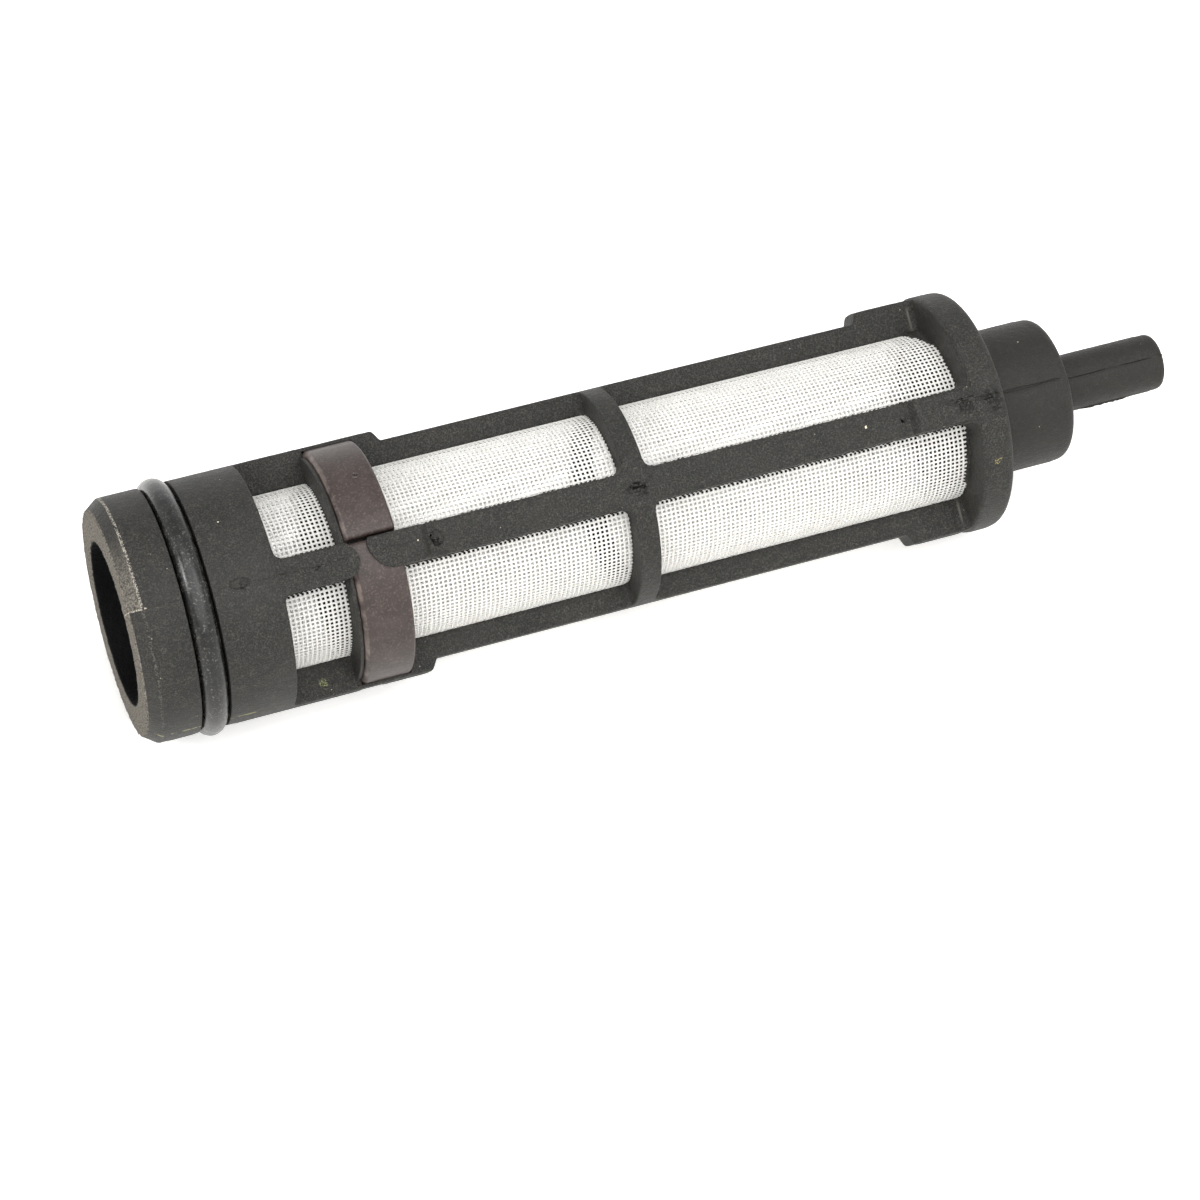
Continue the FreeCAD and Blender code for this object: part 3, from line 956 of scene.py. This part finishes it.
def joined(tree, *masks, by="MULTIPLY"):
    """Several masks made into one: 1 only where all of them are, or by MAXIMUM where any is."""
    result = masks[0]
    for mask in masks[1:]:
        result = add(tree, "Math", (result, mask), operation=by, use_clamp=True)
    return result


def painted(tree, colour, code, *masks):
    """A colour with another laid over it where all the masks are 1."""
    mask = joined(tree, *masks)
    mix = add(tree, "Mix", {0: mask, 6: colour, 7: linear(code)}, data_type="RGBA")
    return mix.outputs[2]


def spot_mask(tree, where, centre, size, ragged):
    """1 within a spot of this size about a centre, 0 outside, with a ragged edge."""
    distance = add(tree, "VectorMath", (where, Vector(centre) * MM), operation="DISTANCE")
    edge = (ragged, 1.4 * size * MM, distance.outputs["Value"])
    reach = add(tree, "Math", edge, operation="MULTIPLY_ADD")
    return add(tree, "MapRange", (reach, 1.1 * size * MM, 1.25 * size * MM, 1, 0))


def window(tree, value, low, high, soft, unit=MM):
    """1 where a value is between low and high, fading over a soft margin on both sides."""
    rise = add(tree, "MapRange", (value, (low - soft) * unit, low * unit))
    fall = add(tree, "MapRange", (value, high * unit, (high + soft) * unit, 1, 0))
    return joined(tree, rise, fall)


# Glass-filled nylon

# Its random patterns, by size, detail and roughness. The fibres in it are finer than the grain
# that is drawn here, which is as coarse as it needs to be to show.
NYLON_PATTERNS = {
    "grain": (0.18, 2.0, 0.6),
    "fibre": (0.22, 2.0, 0.8),
    "coarse": (0.75, 2.0, 0.5),
    "cloud": (4.0, 3.0, 0.5),
}

# The joint across the lead-in, in radians, and limits that no place on the strainer passes
LEAD_IN_JOINT = math.radians(NEAR_RIB - 1.4)
BEFORE_ALL = -2
PAST_ALL = 20

# Crinkled spots where two fronts of the melt met: place, radius, turn and size
MELT_FRONTS = (
    (104.2, 8.6, NEAR_RIB, 0.9), (12.6, 14.0, NEAR_RIB + 1.5, 0.9),
    (34.9, 12.75, NEAR_RIB + 1.5, 1.0), (58.7, 12.7, NEAR_RIB + 1.5, 1.9),
    (98.3, 14.0, NEAR_RIB + 1.5, 1.7), (101.6, 14.1, NEAR_RIB + 1.5, 2.0),
)
CRINKLE_SPACING = 0.42
CRINKLE_BEND = 0.5

# How far apart the cells are that may hold the pale end of a fibre
FIBRE_END_SPACING = 0.9

# White flecks, and smears of old paint with their colours: centre and size
FLECKS = (
    (place(86.3, 12.75, 42.4), 0.3), (place(12.16, 14, 11.0), 0.14),
    (place(109.3, 8.5, 0.8), 0.14), (place(1.73, 13.9, 56.1), 0.2), (place(32.6, 14, 42.6), 0.16),
)
SMEARS = (
    (on_rib(20.6, 1.95, 12.1, NEAR_RIB + 90), 0.95, "#7d8256"),
    (place(100.9, 14.15, 74.3), 0.75, "#8d8355"),
)


def about_the_strainer(tree, where):
    """Where a point is, its place along the axis, turn and radius, and the nylon's patterns."""
    axes = add(tree, "SeparateXYZ", (where,)).outputs
    sideways = add(tree, "Math", (axes[1], -1.0), operation="MULTIPLY")
    turn = add(tree, "Math", (sideways, axes[2]), operation="ARCTAN2")
    from_axis = add(tree, "CombineXYZ", (0, axes[1], axes[2]))
    radius = add(tree, "VectorMath", (from_axis,), operation="LENGTH").outputs["Value"]
    patterns = patterns_in(tree, where, NYLON_PATTERNS)
    return SimpleNamespace(where=where, x=axes[0], turn=turn, radius=radius, **patterns)


def grainy_cage(tree, on, behind):
    """Black plastic with pale fibre grain, a little stronger in the cage behind the collar."""
    colour = two_tone(tree, on.cloud, 0.3, 0.7, "#0c0c0b", "#1a1917")
    grainy = add(tree, "MapRange", (on.grain, 0.45, 0.68))
    strength = add(tree, "MapRange", (behind, 0, 1, 0.6, 0.75))
    colour = painted(tree, colour, "#45433e", grainy, strength)
    patch = add(tree, "MapRange", (on.coarse, 0.5, 0.68, 0, 0.35))
    colour = painted(tree, colour, "#55534d", patch, grainy)

    # The boss and the spigot are a little browner
    closed_end = add(tree, "MapRange", (on.x, 103 * MM, 105 * MM, 0, 0.6))
    colour = painted(tree, colour, "#1d1a17", closed_end)

    # A painted highlight: a pale line on the flanks of the ribs, along the step where the mould's
    # inserts met
    painted_highlight_edge = window(tree, on.x, 98.5, 98.6, 0.12)
    flank = window(tree, on.radius, 11.0, 12.6, 0.9)
    return painted(tree, colour, "#4f4c46", painted_highlight_edge, flank)


def melt_crinkles(tree, on):
    """1 in the crinkles where two fronts of the melt met on the near rib."""
    shift = add(tree, "TexNoise", {"Vector": on.where, "Scale": 1 / (CRINKLE_BEND * MM)})
    bend = Vector((1, 1, 1)) * CRINKLE_BEND * MM
    moved = (shift.outputs["Color"], bend, on.where)
    bent = add(tree, "VectorMath", moved, operation="MULTIPLY_ADD")
    cells = add(tree, "TexVoronoi", {
        "Vector": bent, "Scale": 1 / (CRINKLE_SPACING * MM)}, feature="DISTANCE_TO_EDGE").outputs
    crinkles = add(tree, "MapRange", (cells["Distance"], 0.02, 0.13, 1, 0))
    melted = [
        spot_mask(tree, on.where, place(x, radius, turn), size, on.coarse)
        for x, radius, turn, size in MELT_FRONTS
    ]
    return joined(tree, crinkles, joined(tree, *melted, by="MAXIMUM"))


def beige_end(tree, on, colour, face, outside):
    """The collar's end: a beige fibrous face and lead-in, with a bright edge and a bright step."""
    patchy = add(tree, "MapRange", (on.fibre, 0.4, 0.62, 0.1, 0.95))
    dots = add(tree, "MapRange", (on.grain, 0.45, 0.58))

    # The lead-in is beige only from the top of the collar to the joint at the near rib
    before_joint = window(tree, on.turn, -math.pi, LEAD_IN_JOINT, 0.01, unit=1)
    top = math.radians(2)
    beige_turn = math.radians(30)
    from_top = add(tree, "MapRange", (on.turn, top, beige_turn, 0, 0.75))
    on_lead_in = window(tree, on.x, BEFORE_ALL, 1.42, 0.1)
    lead_in = joined(tree, on_lead_in, before_joint, from_top, outside)
    colour = painted(tree, colour, "#7b756b", joined(tree, face, lead_in, by="MAXIMUM"), patchy)

    # A speckled bright line on the lead-in's outer edge, strong before the joint and faint past it
    edge = window(tree, on.x, 1.36, 1.6, 0.06)
    strong = add(tree, "MapRange", (before_joint, 0, 1, 0.08, 0.65))
    colour = painted(tree, colour, "#b3ada0", outside, edge, strong, dots)

    # A bright step where the mould's parts met, across the lead-in
    near = window(tree, on.x, BEFORE_ALL, 1.9, 0.1)
    line = window(tree, on.turn, LEAD_IN_JOINT - 0.004, LEAD_IN_JOINT + 0.005, 0.003, unit=1)
    return painted(tree, colour, "#b3ada0", near, line, dots)


def fibre_ends(tree, on, colour):
    """Pale fibre ends, about 0.12 mm across and a few millimetres apart."""
    cells = add(tree, "TexVoronoi", {
        "Vector": on.where, "Scale": 1 / (FIBRE_END_SPACING * MM)}).outputs
    dot = add(tree, "MapRange", (cells["Distance"], 0.04, 0.08, 1, 0))
    rare = add(tree, "Math", (cells["Color"], 0.8), operation="GREATER_THAN")
    return painted(tree, colour, "#a39c8a", dot, rare)


def marks_of_use(tree, on, colour, outside):
    """A few white flecks, two smears of old paint, and a yellowish trace along the collar."""
    for centre, size in FLECKS:
        fleck = spot_mask(tree, on.where, centre, size, on.grain)
        colour = painted(tree, colour, "#e6dfc4", fleck)
    blots = add(tree, "MapRange", (on.fibre, 0.5, 0.56))
    for centre, size, code in SMEARS:
        smear = spot_mask(tree, on.where, centre, size, on.coarse)
        colour = painted(tree, colour, code, smear, blots)
    line = window(tree, on.turn, math.radians(116.3), math.radians(117.3), 0.006, unit=1)
    along = window(tree, on.x, 1.0, 12.3, 0.4)
    broken = window(tree, on.coarse, 0.5, 1.0, 0.06, unit=1)
    return painted(tree, colour, "#77734f", line, along, outside, broken)


def moulded_nylon():
    """Glass-filled nylon, moulded: dull black and grainy, with a fibrous pale end face."""
    material, tree, where = new_material("glass_filled_nylon")
    on = about_the_strainer(tree, where)
    behind = window(tree, on.x, 16.9, 102.0, 1.0)
    face = joined(
        tree, window(tree, on.x, BEFORE_ALL, 0.13, 0.05),
        window(tree, on.radius, 9.5, PAST_ALL, 0.1))
    bore = joined(
        tree, window(tree, on.radius, BEFORE_ALL, 9.5, 0.1), window(tree, on.x, 0.2, 16, 0.3))
    outside = window(tree, on.radius, 12.5, PAST_ALL, 0.2)
    crinkled = melt_crinkles(tree, on)

    # The crinkles are painted darker than the skin, as shade in their creases, and the bore is
    # painted darker, as shade inside it
    colour = grainy_cage(tree, on, behind)
    colour = painted(tree, colour, "#050505", crinkled, 0.7)
    colour = painted(tree, colour, "#050506", bore)
    colour = beige_end(tree, on, colour, face, outside)
    colour = fibre_ends(tree, on, colour)
    colour = marks_of_use(tree, on, colour, outside)

    bumps = add(tree, "Math", (on.grain, on.coarse), operation="ADD")
    bumps = add(tree, "Math", (bumps, crinkled), operation="SUBTRACT")
    level = add(tree, "MapRange", (behind, 0, 1, 0.6, 1))
    bump = add(tree, "Bump", {"Height": bumps, "Strength": level, "Distance": 0.16 * MM})
    rough = add(tree, "MapRange", (on.grain, 0.3, 0.7, 0.46, 0.72))
    fibrous = add(tree, "MapRange", (face, 0, 1, 0, 0.3))
    rough = joined(tree, rough, joined(tree, face, fibrous), by="ADD")
    shine = add(tree, "MapRange", (bore, 0, 1, 0.25, 0.08))
    shader = add(tree, "BsdfPrincipled", {
        "Base Color": colour, "Roughness": rough, "IOR": 1.53, "Specular IOR Level": shine,
        "Normal": bump})
    add(tree, "OutputMaterial", {"Surface": shader})
    return material


# The wire, the magnet and the rubber, each with its random patterns as above

WIRE_PATTERNS = {"cloud": (3.0, 2.0, 0.5)}
FERRITE_PATTERNS = {"cloud": (1.6, 4.0, 0.6), "grain": (0.25, 3.0, 0.5)}
RUBBER_PATTERNS = {"cloud": (1.2, 3.0, 0.5), "dust": (0.22, 2.0, 0.5)}


def woven_nylon():
    """Nylon wire, drawn and woven: milky white, with light coming through it and a soft shine."""
    material, tree, where = new_material("nylon_wire")
    (cloud,) = patterns_in(tree, where, WIRE_PATTERNS).values()
    colour = two_tone(tree, cloud, 0.3, 0.7, "#f6f5f2", "#fbfaf8")
    solid = add(tree, "BsdfPrincipled", {"Base Color": colour, "Roughness": 0.5, "IOR": 1.53})
    through = add(tree, "BsdfTranslucent", {"Color": colour})
    mix = add(tree, "MixShader", (0.5, solid, through))
    add(tree, "OutputMaterial", {"Surface": mix})
    return material


def bonded_ferrite():
    """Ferrite powder in rubber, rolled into a strip: matt brown with scuffs and a dried drop."""
    material, tree, where = new_material("bonded_ferrite")
    cloud, grain = patterns_in(tree, where, FERRITE_PATTERNS).values()
    colour = two_tone(tree, cloud, 0.3, 0.72, "#2f2724", "#3d3431")
    dust = add(tree, "MapRange", (grain, 0.52, 0.72, 0, 0.6))
    colour = painted(tree, colour, "#5c514d", dust)

    # The edge towards the collar is painted pale in places: a painted highlight on its bevel, with
    # some scuffs
    x = add(tree, "SeparateXYZ", (where,))
    places = add(tree, "MapRange", (cloud, 0.4, 0.6, 0, 0.6))
    colour = painted(tree, colour, "#766a63", window(tree, x, 24, 25.25, 0.12), places)

    drop = spot_mask(tree, where, place(DROP_PLACE, BAND_OUTSIDE + 0.1, DROP_TURN), 0.5, grain)
    colour = painted(tree, colour, "#1d1715", drop)
    rough = add(tree, "MapRange", (drop, 0, 1, 0.44, 0.08))
    bump = add(tree, "Bump", {"Height": grain, "Strength": 0.3, "Distance": 0.05 * MM})
    shader = add(tree, "BsdfPrincipled", {
        "Base Color": colour, "Roughness": rough, "IOR": 1.5, "Specular IOR Level": 0.3,
        "Normal": bump})
    add(tree, "OutputMaterial", {"Surface": shader})
    return material


def seal_rubber():
    """Nitrile rubber, moulded: black and a little shiny, dulled by pale dust."""
    material, tree, where = new_material("nitrile_rubber")
    cloud, dust = patterns_in(tree, where, RUBBER_PATTERNS).values()
    colour = two_tone(tree, cloud, 0.35, 0.75, "#0d0d0c", "#1b1b1a")
    specks = add(tree, "MapRange", (dust, 0.55, 0.75, 0, 0.7))
    patchy = add(tree, "MapRange", (cloud, 0.42, 0.6, 0.1))
    colour = painted(tree, colour, "#77756e", specks, patchy)
    rough = add(tree, "MapRange", (cloud, 0.3, 0.7, 0.22, 0.36))
    bump = add(tree, "Bump", {"Height": dust, "Strength": 0.25, "Distance": 0.04 * MM})
    shader = add(tree, "BsdfPrincipled", {
        "Base Color": colour, "Roughness": rough, "IOR": 1.5, "Specular IOR Level": 0.35,
        "Normal": bump})
    add(tree, "OutputMaterial", {"Surface": shader})
    return material


def dress(piece, material, node):
    """Give a piece its material, and let it stand for its CAD node."""
    piece.data.materials.clear()
    piece.data.materials.append(material)
    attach(piece, "root")
    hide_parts(node)


dress(make_cage(), moulded_nylon(), "cage")
nylon_wire = woven_nylon()
for wires in make_sleeve():
    dress(wires, nylon_wire, "mesh_sleeve")
dress(make_band(), bonded_ferrite(), "magnet_band")
dress(make_seal(), seal_rubber(), "seal_ring")


# The table, the light and the camera

# The table passes just under the seal ring and the flange
TABLE_GAP = 0.02
UNDER_SEAL = ((GROOVE[0] + GROOVE[1]) / 2, GROOVE_RADIUS + SEAL_GAP + 2 * SEAL_CORD_RADIUS)
UNDER_FLANGE = (101.5, FLANGE_RADIUS)

# The camera of the photograph: place in mm, directions, and focal length in pixels of its frame
CAMERA_PLACE = (-54.8, -299.3, 292.7)
CAMERA_RIGHT = (0.93635, -0.35104, 0.0)
CAMERA_FORWARD = (0.2526, 0.6738, -0.6944)
FOCAL_PIXELS = 3784.7
PHOTOGRAPH_PIXELS = 1200


def seen_white(tree):
    """1 for rays that reach the eye, straight or by way of a shine or a clear piece."""
    path = add(tree, "LightPath").outputs
    rays = (path["Is Camera Ray"], path["Is Transmission Ray"], path["Is Glossy Ray"])
    return joined(tree, *rays, by="MAXIMUM")


def white_table():
    """Matt white paint. To the eye it also glows a little, less in the shade of the strainer."""
    material, tree, where = new_material("white_table")
    paint = add(tree, "BsdfDiffuse", {"Color": linear("#f4f3f0")})
    axes = add(tree, "SeparateXYZ", (where,)).outputs
    under = joined(tree, window(tree, axes[1], 0, 12, 4), window(tree, axes[0], -8, 55, 14))
    level = add(tree, "MapRange", (under, 0, 1, 0.5, 0.1))
    glow = add(tree, "Emission", {"Color": (1, 1, 1, 1), "Strength": level})
    lifted = add(tree, "AddShader", (paint, glow))
    shown = add(tree, "MixShader", (seen_white(tree), paint, lifted))
    add(tree, "OutputMaterial", {"Surface": shown})
    return material


def make_table():
    """A white table under the seal ring and the flange, which keeps their shadow."""
    left, right = [
        Vector((x, 0, -(radius + TABLE_GAP))) for x, radius in (UNDER_SEAL, UNDER_FLANGE)]
    slope = math.atan2(right.z - left.z, right.x - left.x)
    mesh = bpy.data.meshes.new("table")
    mesh.from_pydata([(-2, -2, 0), (2, -2, 0), (2, 2, 0), (-2, 2, 0)], [], [(0, 1, 2, 3)])
    mesh.materials.append(white_table())
    table = new_object("table", mesh)
    table.matrix_world = Matrix.Translation(left * MM) @ Matrix.Rotation(-slope, 4, "Y")


def area_light(name, spot, aim, size, power):
    """A square soft light at a place in millimetres, aimed at a point."""
    data = bpy.data.lights.new(name, "AREA")
    data.size = size * MM
    data.energy = power
    light = new_object(name, data)
    away = Vector(spot) - Vector(aim)
    facing = away.to_track_quat("Z", "Y").to_matrix().to_4x4()
    light.matrix_world = Matrix.Translation(Vector(spot) * MM) @ facing


def make_world():
    """White walls round the table, dimmer overhead and to the left, and plain white to the eye."""
    world = bpy.data.worlds.new("studio")
    bpy.context.scene.world = world
    world.use_nodes = True
    tree = world.node_tree
    tree.nodes.clear()
    direction = add(tree, "TexCoord").outputs["Generated"]
    axes = add(tree, "SeparateXYZ", (direction,)).outputs
    walls = add(tree, "MapRange", (axes[2], 0.0, 0.65, 1.9, 0.36))
    left_wall = add(tree, "MapRange", (axes[0], -0.85, 0.0, 0.3, 1.0))
    strength = add(tree, "Math", (walls, left_wall), operation="MULTIPLY")
    level = add(tree, "Math", (strength, seen_white(tree)), operation="MAXIMUM")
    light = add(tree, "Background", {"Color": (1, 1, 1, 1), "Strength": level})
    add(tree, "OutputWorld", {"Surface": light})


def make_camera():
    """The camera of the photograph, fitted to the strainer's measured points."""
    data = bpy.data.cameras.new("camera")
    data.sensor_width = 36.0
    data.lens = FOCAL_PIXELS / PHOTOGRAPH_PIXELS * data.sensor_width
    data.clip_start = 0.01
    data.clip_end = 20
    camera = new_object("camera", data)
    right = Vector(CAMERA_RIGHT).normalized()
    forward = Vector(CAMERA_FORWARD).normalized()
    up = right.cross(forward).normalized()
    turn = Matrix((right, up, -forward)).transposed().to_4x4()
    camera.matrix_world = Matrix.Translation(Vector(CAMERA_PLACE) * MM) @ turn
    bpy.context.scene.camera = camera


make_table()
make_world()
area_light("key", spot=(-40, -320, 500), aim=(60, 0, 0), size=800, power=5.1)
area_light("left", spot=(-252, -22, 165), aim=(8, -9, 9), size=90, power=0.5)
area_light("right", spot=(150, -120, 180), aim=(80, 0, 0), size=150, power=0.2)
make_camera()
bpy.context.scene.view_settings.view_transform = "Standard"
